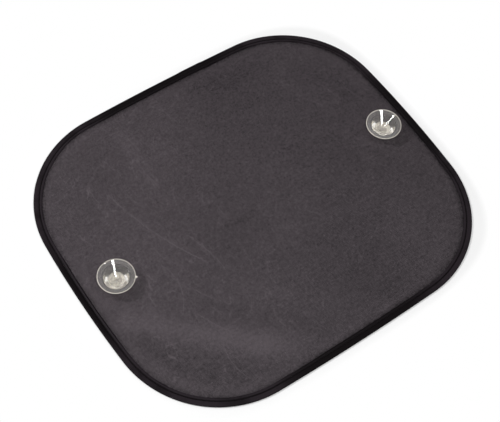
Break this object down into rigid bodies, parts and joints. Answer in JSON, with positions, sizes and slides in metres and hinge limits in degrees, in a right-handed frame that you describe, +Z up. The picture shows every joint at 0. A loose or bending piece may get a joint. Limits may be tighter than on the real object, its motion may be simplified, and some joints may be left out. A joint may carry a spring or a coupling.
{
  "type": "car side window sunshade",
  "caption": "Flat pop-up car side window sunshade: dark mesh cloth on a sprung wire hoop in a sewn tape binding, with clear suction cups.",
  "frame": {"origin": "on the surface that the shade lies on, under the middle of its outline", "axes": "+X along the longer side, from the left cup to the right cup; +Z up, the way the cups open"},
  "size_m": [0.44, 0.385, 0.019],
  "materials": {
    "mesh_cloth": "fine open mesh",
    "satin_tape": "satin",
    "spring_steel": "drawn",
    "crimped_aluminium": "crimped",
    "sewing_thread": "twisted",
    "clear_pvc": "clear"
  },
  "bodies": {
    "shade": {"mesh_panel": "mesh_cloth", "edge_binding": "satin_tape", "spring_wire": "spring_steel", "wire_sleeve": "crimped_aluminium", "needle_thread": "sewing_thread", "bobbin_thread": "sewing_thread"},
    "left_cup": {"suction_cup_left": "clear_pvc"},
    "right_cup": {"suction_cup_right": "clear_pvc"}
  },
  "joints": [
    {"name": "left_cup_spin", "type": "hinge", "parent": "shade", "child": "left_cup", "pos_m": [-0.177, 0, 0.0042], "axis": [0, 0, 1], "continuous": true},
    {"name": "right_cup_spin", "type": "hinge", "parent": "shade", "child": "right_cup", "pos_m": [0.177, 0, 0.0042], "axis": [0, 0, 1], "continuous": true}
  ]
}
